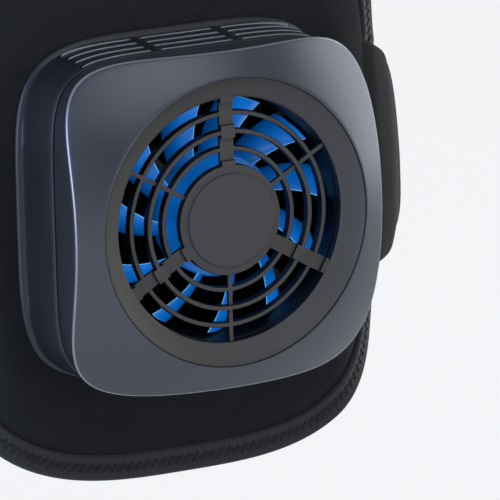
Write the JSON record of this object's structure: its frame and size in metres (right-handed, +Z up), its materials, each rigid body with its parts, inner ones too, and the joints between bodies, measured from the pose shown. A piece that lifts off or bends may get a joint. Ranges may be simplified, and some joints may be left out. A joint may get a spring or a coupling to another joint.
{
  "type": "hot cold therapy machine",
  "caption": "Wearable hot and cold therapy unit: a square fan-cooled pod clamped through a padded limb wrap, with a round dished grille, top vents, push buttons and hook-and-loop side straps.",
  "frame": {"origin": "on the axis of the limb that the wrap goes round, level with the axle of the fan", "axes": "+Z up along the limb, -Y forward out of the pod and its fan, +X to the right of someone who looks at the pod; the wrap has its flat front at y = -36 mm"},
  "size_m": [0.166, 0.1586, 0.152],
  "materials": {
    "knit_fabric": "matt knitted face on foam",
    "lining_fabric": "brushed loop lining on foam",
    "binding_tape": "woven tape with zigzag stitching",
    "hook_tape": "moulded hooks",
    "loop_tape": "brushed loops",
    "housing_plastic": "satin moulded, metallic grey",
    "cover_plastic": "satin moulded, metallic silver grey",
    "grille_plastic": "satin moulded grey",
    "bezel_plastic": "fine moulded texture",
    "plate_aluminium": "bead blasted and anodised",
    "sink_aluminium": "extruded and black anodised",
    "element_ceramic": "lapped alumina",
    "element_alloy": "soldered posts",
    "gasket_foam": "closed cell foam",
    "fan_plastic": "moulded black",
    "blade_plastic": "clear blue moulding lit from inside",
    "magnet_rubber": "bonded ferrite",
    "steel": "plated",
    "core_steel": "stacked laminations",
    "copper_wire": "enamelled winding",
    "circuit_board": "solder mask",
    "light_chip": "clear lens",
    "switch_plastic": "moulded",
    "button_rubber": "satin moulded",
    "cell_foil": "foil pouch"
  },
  "bodies": {
    "pod_and_wrap": {"back_bezel": "bezel_plastic", "battery_cell": "cell_foil", "charging_socket": "steel", "clamp_screws": "steel", "control_board": "circuit_board", "edge_binding": "binding_tape", "element_pellets": "element_alloy", "element_sink_ceramic": "element_ceramic", "element_skin_ceramic": "element_ceramic", "fan_bearings": "steel", "fan_circuit_board": "circuit_board", "fan_coils": "copper_wire", "fan_frame": "fan_plastic", "fan_grille": "grille_plastic", "fan_lights": "light_chip", "fan_screws": "steel", "fan_stator_core": "core_steel", "front_cover": "cover_plastic", "grille_hub_cap": "grille_plastic", "heat_sink": "sink_aluminium", "heat_sink_screws": "steel", "hook_patch": "hook_tape", "insulation_gasket": "gasket_foam", "left_strap": "knit_fabric", "liner_pad": "lining_fabric", "loop_patch": "loop_tape", "mode_switch": "switch_plastic", "outer_panel": "knit_fabric", "power_switch": "switch_plastic", "rear_housing": "housing_plastic", "right_strap": "knit_fabric", "thermal_plate": "plate_aluminium"},
    "rotor": {"fan_rotor": "blade_plastic", "fan_magnet_ring": "magnet_rubber", "fan_shaft": "steel"},
    "power_key": {"power_button": "button_rubber", "power_plunger": "switch_plastic"},
    "mode_key": {"mode_button": "button_rubber", "mode_plunger": "switch_plastic"}
  },
  "joints": [
    {"name": "fan_spin", "type": "hinge", "parent": "pod_and_wrap", "child": "rotor", "pos_m": [0, -0.0592, 0], "axis": [0, -1, 0], "continuous": true},
    {"name": "power_press", "type": "slide", "parent": "pod_and_wrap", "child": "power_key", "axis": [-1, 0, 0], "range_m": [0, 0.0005], "stiffness_N_per_m": 800, "springref_m": -0.0005},
    {"name": "mode_press", "type": "slide", "parent": "pod_and_wrap", "child": "mode_key", "axis": [-1, 0, 0], "range_m": [0, 0.0005], "stiffness_N_per_m": 800, "springref_m": -0.0005}
  ]
}
